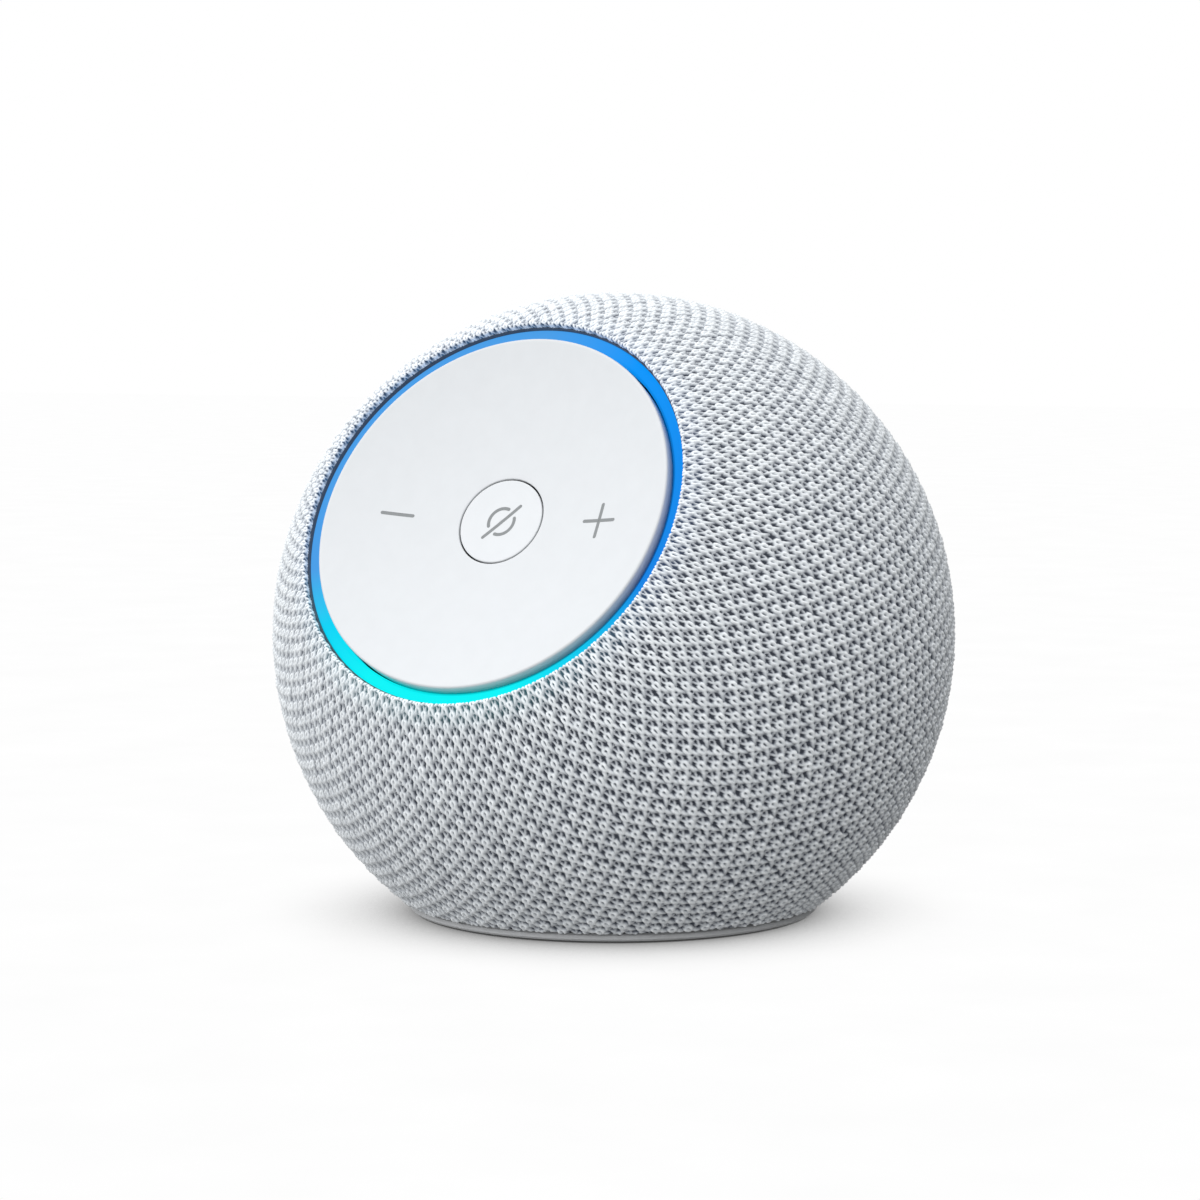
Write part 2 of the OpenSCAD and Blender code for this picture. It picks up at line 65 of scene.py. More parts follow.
PANEL_R = 29.5 * MM
DISH_W = 39.1 * MM
DISH_CURVE_R = 106 * MM
BUTTON_R = 6.95 * MM
BUTTON_HOLE_R = 7.2 * MM
RING_INNER_R = 29.78 * MM
RING_OUTER_R = 31.85 * MM
RING_LIT_R = 31.6 * MM
RING_W = 41.8 * MM
BASE_RIM = 1.15 * MM
BASE_TOP_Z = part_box("bottom_cover")[0][2] + BASE_RIM


def face_point(a, b, w):
    """The point a to the right, b up the face and w out from the ball's centre."""
    return BALL_CENTRE + a * ACROSS + b * UP_FACE + w * OUT


def dish_w(radius):
    """How far out the dished face lies at a radius from its axis."""
    return DISH_W + DISH_CURVE_R - np.sqrt(DISH_CURVE_R ** 2 - radius ** 2)


# ---------------------------------------------------------------- mesh helpers
def add_object(name, points, faces, smooth=True):
    """Makes a mesh object; faces is an array of quads or a list of polygons."""
    mesh = bpy.data.meshes.new(name)
    points = np.asarray(points, dtype=np.float32)
    if isinstance(faces, np.ndarray):
        sides = faces.shape[1]
        mesh.vertices.add(len(points))
        mesh.vertices.foreach_set("co", points.ravel())
        mesh.loops.add(faces.size)
        mesh.loops.foreach_set("vertex_index", faces.astype(np.int32).ravel())
        mesh.polygons.add(len(faces))
        mesh.polygons.foreach_set("loop_start", np.arange(0, faces.size, sides, dtype=np.int32))
        mesh.update(calc_edges=True)
    else:
        mesh.from_pydata(points.tolist(), [], faces)
        mesh.update()
    mesh.polygons.foreach_set("use_smooth", np.full(len(mesh.polygons), smooth))
    made = bpy.data.objects.new(name, mesh)
    bpy.context.scene.collection.objects.link(made)
    return made


def mesh_points(piece):
    """The piece's vertices as an array."""
    points = np.zeros(len(piece.data.vertices) * 3, dtype=np.float32)
    piece.data.vertices.foreach_get("co", points)
    return points.reshape(-1, 3)


def add_number(piece, name, values):
    """Stores one number per vertex, which a material can read."""
    stored = piece.data.attributes.new(name, "FLOAT", "POINT")
    stored.data.foreach_set("value", np.asarray(values, dtype=np.float32))


def arc(cx, cy, radius, start, end, steps):
    """Points on an arc, angles in degrees."""
    turns = np.radians(np.linspace(start, end, steps))
    return [(cx + radius * math.cos(t), cy + radius * math.sin(t)) for t in turns]


def face_lathe(name, profile, steps=256, closed=True):
    """Turns a profile of (radius, w) points round the face's axis."""
    profile = np.array(profile)
    turn = np.arange(steps) * 2 * math.pi / steps
    radius, w = profile[:, 0][:, None], profile[:, 1][:, None]
    points = face_point(
        (radius * np.cos(turn))[..., None],
        (radius * np.sin(turn))[..., None],
        np.broadcast_to(w, (len(profile), steps))[..., None],
    ).reshape(-1, 3)
    rows = len(profile) if closed else len(profile) - 1
    row, step = np.meshgrid(np.arange(rows), np.arange(steps), indexing="ij")
    below = ((row + 1) % len(profile)) * steps
    faces = np.stack(
        [row * steps + step, below + step, below + (step + 1) % steps, row * steps + (step + 1) % steps], -1
    ).reshape(-1, 4)
    return add_object(name, points, faces[:, ::-1])


# ---------------------------------------------------------------- material helpers
def new_material(name):
    """An empty node material with a Principled shader."""
    made = bpy.data.materials.new(name)
    made.use_nodes = True
    tree = made.node_tree
    tree.nodes.clear()
    out = tree.nodes.new("ShaderNodeOutputMaterial")
    shader = tree.nodes.new("ShaderNodeBsdfPrincipled")
    tree.links.new(shader.outputs["BSDF"], out.inputs["Surface"])
    return made, tree, shader


def srgb(red, green, blue):
    """A colour given as 0 to 255 screen values, as the shader wants it."""
    def linear(value):
        value = value / 255
        return value / 12.92 if value <= 0.04045 else ((value + 0.055) / 1.055) ** 2.4
    return (linear(red), linear(green), linear(blue), 1.0)


def noise(tree, scale, detail=3.0, roughness=0.55):
    """A noise texture in object coordinates; scale is in features per metre."""
    coords = tree.nodes.new("ShaderNodeTexCoord")
    texture = tree.nodes.new("ShaderNodeTexNoise")
    texture.inputs["Scale"].default_value = scale
    texture.inputs["Detail"].default_value = detail
    texture.inputs["Roughness"].default_value = roughness
    tree.links.new(coords.outputs["Object"], texture.inputs["Vector"])
    return texture


def ramp(tree, value, stops):
    """A colour ramp fed by value; stops are (position, colour)."""
    made = tree.nodes.new("ShaderNodeValToRGB")
    line = made.color_ramp
    while len(line.elements) < len(stops):
        line.elements.new(0.5)
    for element, (position, colour) in zip(line.elements, stops):
        element.position = position
        element.color = colour
    tree.links.new(value, made.inputs["Fac"])
    return made


def bump(tree, shader, height, strength, distance):
    """Bump from a height value into the shader's normal."""
    made = tree.nodes.new("ShaderNodeBump")
    made.inputs["Strength"].default_value = strength
    made.inputs["Distance"].default_value = distance
    tree.links.new(height, made.inputs["Height"])
    tree.links.new(made.outputs["Normal"], shader.inputs["Normal"])


def grained(name, colour, roughness=0.5, vary=0.06, scale=900, bump_depth=0.02 * MM, metallic=0.0):
    """Moulded, cast or painted stuff: a little colour variation, uneven gloss and a fine grain."""
    made, tree, shader = new_material(name)
    texture = noise(tree, scale)
    dark = tuple(c * (1 - vary) for c in colour[:3]) + (1.0,)
    light = tuple(min(1, c * (1 + vary)) for c in colour[:3]) + (1.0,)
    shade = ramp(tree, texture.outputs["Fac"], [(0.3, dark), (0.7, light)])
    tree.links.new(shade.outputs["Color"], shader.inputs["Base Color"])
    gloss = tree.nodes.new("ShaderNodeMapRange")
    gloss.inputs["To Min"].default_value = max(0.03, roughness - 0.08)
    gloss.inputs["To Max"].default_value = min(1, roughness + 0.08)
    tree.links.new(texture.outputs["Fac"], gloss.inputs["Value"])
    tree.links.new(gloss.outputs["Result"], shader.inputs["Roughness"])
    shader.inputs["Metallic"].default_value = metallic
    bump(tree, shader, texture.outputs["Fac"], 0.5, bump_depth)
    return made


# ---------------------------------------------------------------- camera, light and floor
def look_from_photo():
    """The camera: 30 degrees round to the right, a little above the table."""
    azimuth, elevation = math.radians(30.08), math.radians(5.27)
    distance = 10 * BALL_R
    sensor_mm, lens_mm = 36, 101.72
    # turned a little to the left and up, so that the ball lies right of and below the middle
    turn_left, turn_up = math.radians(0.2315), math.radians(0.5509)
    away = Vector((
        math.sin(azimuth) * math.cos(elevation),
        -math.cos(azimuth) * math.cos(elevation),
        math.sin(elevation),
    ))
    data = bpy.data.cameras.new("photo_camera")
    data.sensor_width = sensor_mm
    data.lens = lens_mm
    data.clip_start, data.clip_end = 0.01, 20
    camera = bpy.data.objects.new("photo_camera", data)
    bpy.context.scene.collection.objects.link(camera)
    camera.location = Vector(BALL_CENTRE) + away * distance
    forward = -away
    right = forward.cross(Vector((0, 0, 1))).normalized()
    up = right.cross(forward)
    yaw = Quaternion(up, turn_left)
    forward, right = yaw @ forward, yaw @ right
    pitch = Quaternion(right, turn_up)
    forward = pitch @ forward
    up = right.cross(forward)
    turned = Matrix((right, up, -forward)).transposed()
    camera.rotation_euler = turned.to_euler()
    bpy.context.scene.camera = camera


def area_light(name, place, target, width, height, watts):
    """A white soft box at place that points at target."""
    data = bpy.data.lights.new(name, "AREA")
    data.shape = "RECTANGLE"
    data.size, data.size_y = width, height
    data.energy = watts
    lamp = bpy.data.objects.new(name, data)
    bpy.context.scene.collection.objects.link(lamp)
    lamp.location = place
    lamp.rotation_euler = (Vector(target) - Vector(place)).to_track_quat("-Z", "Y").to_euler()


def studio_sky():
    """Soft light from above and in front, a little from the left; the camera sees plain white."""
    level, lean = 0.655, (-0.21, -0.72, 1.09)
    least = 0.02
    world = bpy.data.worlds.new("studio_sky")
    world.use_nodes = True
    tree = world.node_tree
    tree.nodes.clear()
    coords = tree.nodes.new("ShaderNodeTexCoord")
    slope = tree.nodes.new("ShaderNodeVectorMath")
    slope.operation = "DOT_PRODUCT"
    slope.inputs[1].default_value = lean
    tree.links.new(coords.outputs["Generated"], slope.inputs[0])
    total = tree.nodes.new("ShaderNodeMath")
    total.operation = "ADD"
    total.inputs[1].default_value = level
    tree.links.new(slope.outputs["Value"], total.inputs[0])
    positive = tree.nodes.new("ShaderNodeMath")
    positive.operation = "MAXIMUM"
    positive.inputs[1].default_value = least
    tree.links.new(total.outputs["Value"], positive.inputs[0])
    light = tree.nodes.new("ShaderNodeBackground")
    light.inputs["Color"].default_value = (0.98, 0.99, 1.0, 1)
    tree.links.new(positive.outputs["Value"], light.inputs["Strength"])
    white = tree.nodes.new("ShaderNodeBackground")
    white.inputs["Color"].default_value = (1, 1, 1, 1)
    ray = tree.nodes.new("ShaderNodeLightPath")
    mix = tree.nodes.new("ShaderNodeMixShader")
    tree.links.new(ray.outputs["Is Camera Ray"], mix.inputs["Fac"])
    tree.links.new(light.outputs["Background"], mix.inputs[1])
    tree.links.new(white.outputs["Background"], mix.inputs[2])
    out = tree.nodes.new("ShaderNodeOutputWorld")
    tree.links.new(mix.outputs["Shader"], out.inputs["Surface"])
    bpy.context.scene.world = world


def floor_material():
    """White paper that glows evenly, darker only where the object keeps light from it."""
    shadow_depth, shadow_reach = 2.4, 70 * MM
    open_part, shadow_power = 0.33, 1.9  # no shadow where less than open_part is hidden
    darkest = 0.04
    made, tree, shader = new_material("floor_paper")
    open_sky = tree.nodes.new("ShaderNodeAmbientOcclusion")
    open_sky.samples = 16
    open_sky.inputs["Distance"].default_value = shadow_reach
    hidden = tree.nodes.new("ShaderNodeMath")
    hidden.operation = "SUBTRACT"
    hidden.use_clamp = True
    hidden.inputs[0].default_value = 1.0 - open_part
    tree.links.new(open_sky.outputs["AO"], hidden.inputs[1])
    deepening = tree.nodes.new("ShaderNodeMath")
    deepening.operation = "POWER"
    deepening.inputs[1].default_value = shadow_power
    tree.links.new(hidden.outputs["Value"], deepening.inputs[0])
    glow = tree.nodes.new("ShaderNodeMath")
    glow.operation = "MULTIPLY_ADD"
    glow.inputs[1].default_value = -shadow_depth
    glow.inputs[2].default_value = 1.0
    tree.links.new(deepening.outputs["Value"], glow.inputs[0])
    limited = tree.nodes.new("ShaderNodeMath")
    limited.operation = "MAXIMUM"
    limited.inputs[1].default_value = darkest
    tree.links.new(glow.outputs["Value"], limited.inputs[0])
    tree.links.new(limited.outputs["Value"], shader.inputs["Emission Strength"])
    texture = noise(tree, 40)
    shade = ramp(tree, texture.outputs["Fac"], [(0.3, srgb(253, 253, 253)), (0.7, srgb(255, 255, 255))])
    tree.links.new(shade.outputs["Color"], shader.inputs["Emission Color"])
    shader.inputs["Base Color"].default_value = (0, 0, 0, 1)
    shader.inputs["Roughness"].default_value = 1.0
    shader.inputs["Specular IOR Level"].default_value = 0.0
    return made


def studio():
    """White floor, white surroundings and a weak soft box at the upper left."""
    bpy.context.scene.view_settings.view_transform = "Standard"
    studio_sky()
    place, side, watts = (-0.4, -0.35, 0.7), 0.7, 0.35
    area_light("key", place, (0, 0, BALL_Z), side, side, watts)
    half = 3.0
    floor = add_object(
        "floor",
        [(-half, -half, 0), (half, -half, 0), (half, half, 0), (-half, half, 0)],
        [(0, 1, 2, 3)],
    )
    floor.data.materials.append(floor_material())
    floor.visible_diffuse = False  # no white bounce under the ball


# ---------------------------------------------------------------- the knitted cover
COLUMNS = 88
ROW_PITCH = 1.753 * MM
STITCH = 2 * ROW_PITCH
COLUMN_SAMPLES = 20
STITCH_SAMPLES = 16
EDGE_CURL_R = 0.58 * MM
EDGE_INNER_R = 31.87 * MM
EDGE_DROP = 1.3 * MM
WALL_FLAT, WALL_FLAT_WITHIN = 0.6, 0.8 * MM  # share of the relief lost down the opening's wall
FIRST_ROW = 0.4 * MM  # how far inside the cloth's edge the first row of stitches starts
HEM_CURL_R = 0.7 * MM
HEM_GAP = 0.04 * MM
HEM_KEPT = math.radians(75)  # how far the hem rolls on, past pointing straight down
# painted shade: the hem's rolled-under yarn is darkened as if in shadow
HEM_PAINTED_SHADE = 0.85  # share of yarn_height_and_shade, which sets the yarn's tone, lost underneath the hem
KNIT_DEPTH = 0.72 * MM
KNIT_PROUD, PROUD_WITHIN = 0.16 * MM, 2 * MM
POLE_TILT = math.radians(9.4)
COARSE_FROM, COARSE_OVER = 152.5, 2.5  # degrees from the face where the columns are halved
GLOW_UP, GLOW_BESIDE = 0.7 * MM, 0.8 * MM  # how far the ring's light reaches on the yarn

# One stitch, in column widths across and stitch lengths down: strands as chains of
# (across, down, height), mirrored left to right. Height 1 is the outside of the cloth.
LOOP_TOP, LOOP_FOOT = (0.0, -0.17, 0.71), (0.0, 0.20, 0.77)
LEG_TOP = (0.13, 0.26, 0.78)
LOOP_SIDE = [LOOP_TOP, (0.115, -0.10, 0.88), (0.117, 0.0, 1.0), (0.07, 0.19, 0.85), LOOP_FOOT]
LEG = [LOOP_FOOT, LEG_TOP, (0.14, 0.37, 0.82), (0.30, 0.62, 0.44)]
BRIDGE = [LEG_TOP, (0.16, 0.47, 0.44), (0.056, 0.75, 0.67), (0.0, 0.83, 0.71)]
TIE = [(0.0, 0.43, 0.50), (0.08, 0.49, 0.69)]
STRANDS = [(LOOP_SIDE, 0.088), (LEG, 0.102), (BRIDGE, 0.066), (TIE, 0.048)]
STRAND_ROUND = 0.68
LOOSE_PLACE, LOOSE_HEIGHT = 0.022, 0.05  # how unevenly the stitches lie
LOOSE_ROWS = 64  # rows before the unevenness repeats


def smooth_step(value):
    """Rises smoothly from 0 to 1 as value does."""
    value = np.clip(value, 0, 1)
    return value * value * (3 - 2 * value)


def strand_height(x, y, chain, radius):
    """The height of one strand over each (x, y); 0 off the strand."""
    best = np.zeros_like(x)
    for (x0, y0, h0), (x1, y1, h1) in zip(chain, chain[1:]):
        dx, dy = x1 - x0, y1 - y0
        along = np.clip(((x - x0) * dx + (y - y0) * dy) / (dx * dx + dy * dy), 0, 1)
        away = np.hypot(x - x0 - along * dx, y - y0 - along * dy) / radius
        top = h0 + along * (h1 - h0)
        fall = STRAND_ROUND * (1 - np.sqrt(np.clip(1 - away * away, 0, None)))
        best = np.maximum(best, np.where(away < 1, top - fall, 0))
    return best


def knit_height(columns, rows):
    """The cloth's height, 0 to 1, where columns and rows count stitches across and down."""
    height = np.zeros_like(columns)
    loose = np.random.default_rng(7)
    for stagger in (0.0, 0.5):
        shift_x, shift_y, lift = loose.normal(0, 1, (3, LOOSE_ROWS, COLUMNS))
        base_x = np.floor(columns - stagger + 0.5)
        base_y = np.floor(rows - stagger + 0.5)
        x = columns - stagger - base_x
        y = rows - stagger - base_y
        column = base_x.astype(int) % COLUMNS
        for step in (-1, 0, 1):
            row = (base_y.astype(int) + step) % LOOSE_ROWS
            own_x = np.abs(x + LOOSE_PLACE * shift_x[row, column])
            own_y = y - step + LOOSE_PLACE * shift_y[row, column]
            for chain, radius in STRANDS:
                over = strand_height(own_x, own_y, chain, radius)
                height = np.maximum(height, over * (1 + LOOSE_HEIGHT * lift[row, column]))
    return np.clip(height, 0, 1.1)


def cover_edge():
    """The angle from the face's axis at which the cloth turns in round the opening."""
    return math.asin((EDGE_INNER_R + EDGE_CURL_R) / (BALL_R - EDGE_CURL_R))


def turned_in():
    """How much cloth lies beyond the edge: rolled over the opening's rim and down its wall."""
    return EDGE_CURL_R * (cover_edge() + math.pi / 2) + EDGE_DROP


def cover_profile(along):
    """Radius, w and outward direction at a distance along the cloth from its turned edge."""
    edge = cover_edge()
    on_ball = edge + np.maximum(along, 0) / BALL_R
    full_turn = edge + math.pi / 2
    turned = np.minimum(np.maximum(-along, 0) / EDGE_CURL_R, full_turn)
    drop = np.maximum(-along - full_turn * EDGE_CURL_R, 0)
    lean = np.where(along >= 0, on_ball, edge - turned)
    inner = BALL_R - EDGE_CURL_R
    at = np.where(along >= 0, on_ball, edge)
    radius = inner * np.sin(at) + EDGE_CURL_R * np.sin(lean)
    w = inner * np.cos(at) + EDGE_CURL_R * np.cos(lean) - drop
    return radius, w, np.sin(lean), np.cos(lean), at


def lean_down(points, tilt):
    """Leans the far rings down by tilt, so that the knit closes behind the socket plate."""
    rel = points - BALL_CENTRE
    c, s = np.cos(tilt), np.sin(tilt)
    y = rel[..., 1] * c + rel[..., 2] * s
    z = -rel[..., 1] * s + rel[..., 2] * c
    return np.stack([rel[..., 0], y, z], -1) + BALL_CENTRE


def ring_spill(points):
    """How strongly the light ring lights the yarn, 1 beside the ring and 0 away from it."""
    rel = points - BALL_CENTRE
    off_axis = np.hypot(rel @ ACROSS, rel @ UP_FACE)
    above_ring = np.maximum(rel @ OUT - RING_W, 0) / GLOW_UP
    beside_ring = np.maximum(off_axis - EDGE_INNER_R, 0) / GLOW_BESIDE
    in_front = rel @ OUT > 0
    return np.where(in_front, np.exp(-above_ring - beside_ring), 0)


def knit_cover():
    """The stretched knitted cloth as one sheet of real stitches."""
    around = COLUMNS * COLUMN_SAMPLES
    open_steps = 3  # left open at the far pole
    step = STITCH / STITCH_SAMPLES
    start = -int(turned_in() / step)
    stop = int(BALL_R * (math.pi - cover_edge()) / step) - open_steps
    along = np.arange(start, stop) * step
    turn = np.arange(around) * 2 * math.pi / around
    radius, w, lean_r, lean_w, theta = cover_profile(along)
    columns = np.broadcast_to(turn / (2 * math.pi) * COLUMNS, (len(along), around))
    rows = np.broadcast_to(((along + FIRST_ROW) / STITCH)[:, None], columns.shape)
    height = knit_height(columns, rows)
    far = knit_height(columns / 2, rows)
    coarse = smooth_step((np.degrees(theta) - COARSE_FROM) / COARSE_OVER)[:, None]
    height = height * (1 - coarse) + far * coarse
    depth = KNIT_DEPTH * (1 - WALL_FLAT * smooth_step(-along / WALL_FLAT_WITHIN))
    proud = KNIT_PROUD * smooth_step(along / PROUD_WITHIN)
    sink = (1 - height) * depth[:, None] - proud[:, None]
    radius = radius[:, None] - sink * lean_r[:, None]
    w = w[:, None] - sink * lean_w[:, None]
    tilt = POLE_TILT * smooth_step((theta - math.pi / 2) / (math.pi / 2))[:, None]
    a = radius * np.cos(turn)
    b = radius * np.sin(turn)
    points = lean_down(face_point(a[..., None], b[..., None], w[..., None]), tilt)
    flat_points = points.reshape(-1, 3)
    row, col = np.meshgrid(np.arange(len(along) - 1), np.arange(around), indexing="ij")
    faces = np.stack(
        [row * around + col, row * around + (col + 1) % around,
         (row + 1) * around + (col + 1) % around, (row + 1) * around + col], -1
    ).reshape(-1, 4)
    flat_points, faces, height = trim_cover(flat_points, faces, height.ravel())
    cover = add_object("knit_cover", flat_points, faces)
    add_number(cover, "yarn_height_and_shade", height)
    add_number(cover, "ring_spill", ring_spill(flat_points))
    return cover


def plate_distance(points):
    """How far outside the socket plate's outline a point is, seen from behind, and which way is out."""
    gap, corner = 0.1 * MM, 5 * MM
    plate_low, plate_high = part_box("inlet_bezel")
    centre_z = (plate_low[2] + plate_high[2]) / 2
    half_x = (plate_high[0] - plate_low[0]) / 2 + gap
    half_z = (plate_high[2] - plate_low[2]) / 2 + gap
    side_x, side_z = np.sign(points[:, 0]), np.sign(points[:, 2] - centre_z)
    qx = np.abs(points[:, 0]) - (half_x - corner)
    qz = np.abs(points[:, 2] - centre_z) - (half_z - corner)
    px, pz = np.maximum(qx, 0), np.maximum(qz, 0)
    length = np.maximum(np.hypot(px, pz), 1e-9)
    distance = np.hypot(px, pz) - corner + np.minimum(np.maximum(qx, qz), 0)
    return distance, px / length * side_x, pz / length * side_z


def roll_hem(points):
    """Rolls the cloth's lower edge in under itself, so that it ends just above the base's top.

    Returns the points, which of them to keep and how far each lies underneath, 0 to 1, which the caller
    uses for painted shade.
    """
    flatter, least_relief = 0.3, 0.4
    # where the painted shade under the hem begins, and how far it takes to reach full depth
    dark_from, dark_over = 0.45, 0.5
    rel = points - BALL_CENTRE
    from_centre = np.linalg.norm(rel, axis=1)
    polar = np.arccos(-rel[:, 2] / from_centre)
    core = BALL_R - HEM_CURL_R
    hem_polar = math.acos((BALL_Z - BASE_TOP_Z - HEM_GAP - HEM_CURL_R) / core)
    turned = (hem_polar - polar) * BALL_R / HEM_CURL_R
    rolled = turned > 0
    keep = turned < hem_polar + HEM_KEPT
    lean = hem_polar - turned
    relief = np.clip(1 - flatter * turned, least_relief, 1)
    out = HEM_CURL_R - (BALL_R - from_centre) * relief
    around = core * math.sin(hem_polar) + out * np.sin(lean)
    z = BALL_Z - core * math.cos(hem_polar) - out * np.cos(lean)
    flat = np.maximum(np.hypot(rel[:, 0], rel[:, 1]), 1e-9)
    moved = np.stack([rel[:, 0] / flat * around, rel[:, 1] / flat * around, z], 1)
    underneath = smooth_step((turned - dark_from) / dark_over)
    return np.where(rolled[:, None], moved, points), keep, underneath


def trim_cover(points, faces, height):
    """Rolls in the hem, painting shade on the yarn underneath it, and cuts the cloth round the socket
    plate, with its edge tucked in.
    """
    cut_step, tuck = 0.25 * MM, 0.8 * MM
    behind = points[:, 1] > 0
    distance, out_x, out_z = plate_distance(points)
    tucked = behind & (distance < 0) & (distance > -cut_step)
    points, keep, underneath = roll_hem(points)
    # painted shade: the yarn darkened where the hem rolls under, out of the light
    height = height * (1 - HEM_PAINTED_SHADE * underneath)
    points[tucked, 0] -= (distance * out_x)[tucked]
    points[tucked, 2] -= (distance * out_z)[tucked]
    inward = BALL_CENTRE - points[tucked]
    inward /= np.linalg.norm(inward, axis=1)[:, None]
    points[tucked] += inward * tuck
    keep &= ~(behind & (distance <= -cut_step))
    faces = faces[keep[faces].all(axis=1)]
    used = np.zeros(len(points), bool)
    used[faces.ravel()] = True
    index = np.cumsum(used) - 1
    return points[used], index[faces], height[used]


def knit_material():
    """Light grey yarn with a fibrous surface; its colour darkens with depth as painted shade between the
    strands, partly the darker inner cloth seen through the gaps, and the ring's light is painted on the
    yarn beside it as a glow.
    """
    made, tree, shader = new_material("knit_yarn")
    height = tree.nodes.new("ShaderNodeAttribute")
    height.attribute_name = "yarn_height_and_shade"
    # painted shade: the deeper the yarn lies, the darker its colour, standing in for the shade in the
    # hollows between the strands
    shade = ramp(tree, height.outputs["Fac"], [
        (0.0, srgb(62, 67, 78)), (0.14, srgb(92, 97, 107)), (0.30, srgb(144, 149, 157)),
        (0.5, srgb(196, 200, 205)), (0.72, srgb(227, 231, 234)), (0.92, srgb(245, 248, 250)),
    ])
    fibre = noise(tree, 6000, 2)
    mix = tree.nodes.new("ShaderNodeMix")
    mix.data_type = "RGBA"
    mix.blend_type = "MULTIPLY"
    mix.inputs["Factor"].default_value = 0.35
    tree.links.new(shade.outputs["Color"], mix.inputs["A"])
    tone = ramp(tree, fibre.outputs["Fac"], [(0.3, (0.75, 0.75, 0.75, 1)), (0.7, (1, 1, 1, 1))])
    tree.links.new(tone.outputs["Color"], mix.inputs["B"])
    tree.links.new(mix.outputs["Result"], shader.inputs["Base Color"])
    shader.inputs["Roughness"].default_value = 0.85
    spill = tree.nodes.new("ShaderNodeAttribute")
    spill.attribute_name = "ring_spill"
    glow = ring_colour(tree)
    lit = tree.nodes.new("ShaderNodeMix")
    lit.data_type = "RGBA"
    lit.inputs["A"].default_value = (0, 0, 0, 1)
    tree.links.new(spill.outputs["Fac"], lit.inputs["Factor"])
    tree.links.new(glow.outputs["Color"], lit.inputs["B"])
    tree.links.new(lit.outputs["Result"], shader.inputs["Emission Color"])
    shader.inputs["Emission Strength"].default_value = 0.6
    bump(tree, shader, fibre.outputs["Fac"], 0.6, 0.05 * MM)
    return made


# ---------------------------------------------------------------- the face
def panel_profile():
    """The dished panel in section, from the button's hole out to the rim and down its side."""
    hole_edge, rim_edge = 0.16 * MM, 0.35 * MM
    inner = BUTTON_HOLE_R
    profile = [(inner, float(dish_w(inner)) - 1.6 * MM), (inner, float(dish_w(inner)) - hole_edge)]
    profile += arc(inner + hole_edge, float(dish_w(inner)) - hole_edge, hole_edge, 170, 95, 5)
    for radius in np.linspace(inner + 2 * hole_edge, PANEL_R - 1.6 * rim_edge, 40):
        profile.append((radius, float(dish_w(radius))))
    rim_w = float(dish_w(PANEL_R - rim_edge)) + 0.02 * MM
    profile += arc(PANEL_R - rim_edge, rim_w - rim_edge, rim_edge, 78, 0, 9)
    profile += [(PANEL_R, RING_W - 1.5 * MM), (PANEL_R - 1.2 * MM, RING_W - 1.5 * MM)]
    for radius in np.linspace(PANEL_R - 1.6 * MM, inner + 0.5 * MM, 12):
        profile.append((radius, float(dish_w(radius)) - 1.6 * MM))
    return profile


def button_profile():
    """The button's cap in section; its top carries on the dish."""
    edge = 0.15 * MM
    profile = [(0.02 * MM, DISH_W)]
    for radius in np.linspace(0.5 * MM, BUTTON_R - 2 * edge, 14):
        profile.append((radius, float(dish_w(radius))))
    top = float(dish_w(BUTTON_R - edge))
    profile += arc(BUTTON_R - edge, top - edge, edge, 82, 0, 7)
    profile += [(BUTTON_R, top - 2.0 * MM), (0.02 * MM, top - 2.0 * MM)]
    return profile


def ring_profile():
    """The light ring in section: a low rounded bead."""
    middle = (RING_INNER_R + RING_OUTER_R) / 2
    half = (RING_OUTER_R - RING_INNER_R) / 2
    top = []
    for step in np.linspace(-1, 1, 25):
        top.append((middle + step * half, RING_W - 0.28 * MM * step ** 4))
    return top[::-1] + [(RING_INNER_R, RING_W - 4 * MM), (RING_OUTER_R, RING_W - 4 * MM)]


def stroke(centre_line, width):
    """A flat round-ended line on the dish, as points and faces with a little thickness."""
    line = np.array(centre_line, float)
    lift, sunk = 0.012 * MM, 0.05 * MM
    tangent = np.gradient(line, axis=0)
    tangent /= np.linalg.norm(tangent, axis=1)[:, None]
    side = np.stack([-tangent[:, 1], tangent[:, 0]], 1) * width / 2
    left = list(line + side)
    right = list(line - side)
    cap = [line[-1] + math.cos(t) * side[-1] + math.sin(t) * tangent[-1] * width / 2
           for t in np.linspace(0, math.pi, 9)[1:-1]]
    tail = [line[0] - math.cos(t) * side[0] - math.sin(t) * tangent[0] * width / 2
            for t in np.linspace(0, math.pi, 9)[1:-1]]
    outline = left + cap + right[::-1] + tail
    return outline, lift, sunk, len(left), len(cap), len(tail)


def mark(name, lines, width):
    """A printed mark made of strokes that follow the dish."""
    points, faces = [], []
    for line in lines:
        outline, lift, sunk, n, caps, tails = stroke(line, width)
        first = len(points)
        total = len(outline)
        for height in (lift, -sunk):
            for a, b in outline:
                points.append(face_point(a, b, float(dish_w(math.hypot(a, b))) + height))
        left = [first + i for i in range(n)]
        right = [first + n + caps + (n - 1 - i) for i in range(n)]
        for i in range(n - 1):
            faces.append((left[i], right[i], right[i + 1], left[i + 1]))
        faces.append([left[-1], right[-1]] + [first + n + i for i in range(caps)][::-1])
        faces.append([right[0], left[0]] + [first + 2 * n + caps + i for i in range(tails)][::-1])
        for i in range(total):
            j = (i + 1) % total
            faces.append((first + i, first + j, first + total + j, first + total + i))
    return add_object(name, points, faces, smooth=False)


def straight(x0, y0, x1, y1, steps=12):
    """Points along a straight stroke, in metres from millimetres."""
    return [(MM * (x0 + (x1 - x0) * t), MM * (y0 + (y1 - y0) * t)) for t in np.linspace(0, 1, steps)]


